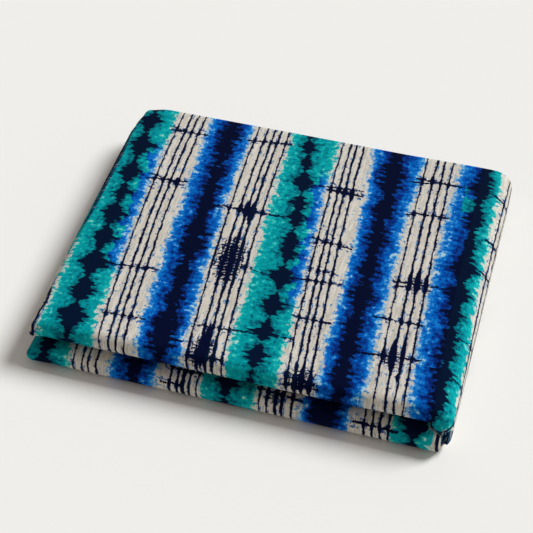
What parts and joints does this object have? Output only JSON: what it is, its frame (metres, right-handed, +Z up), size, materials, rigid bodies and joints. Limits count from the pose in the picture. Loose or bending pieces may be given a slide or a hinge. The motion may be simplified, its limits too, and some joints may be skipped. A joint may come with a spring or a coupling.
{
  "type": "folded tie-dyed cotton cloth",
  "caption": "Adire cotton cloth with indigo, blue and teal tie-dye stripes, folded into a flat rectangular stack.",
  "frame": {"origin": "middle of the flat underside of the folded stack", "axes": "+X along the stack's long side, away from the turned-in ends and towards the closing fold, +Y towards the open rear edges, +Z up"},
  "size_m": [0.3458, 0.29, 0.0395],
  "materials": {
    "dyed_cotton": "plain-weave cotton with a dry, slightly slubby hand; navy, blue, teal and undyed cream stripes"
  },
  "bodies": {
    "root": {"cloth": "dyed_cotton"}
  },
  "joints": []
}
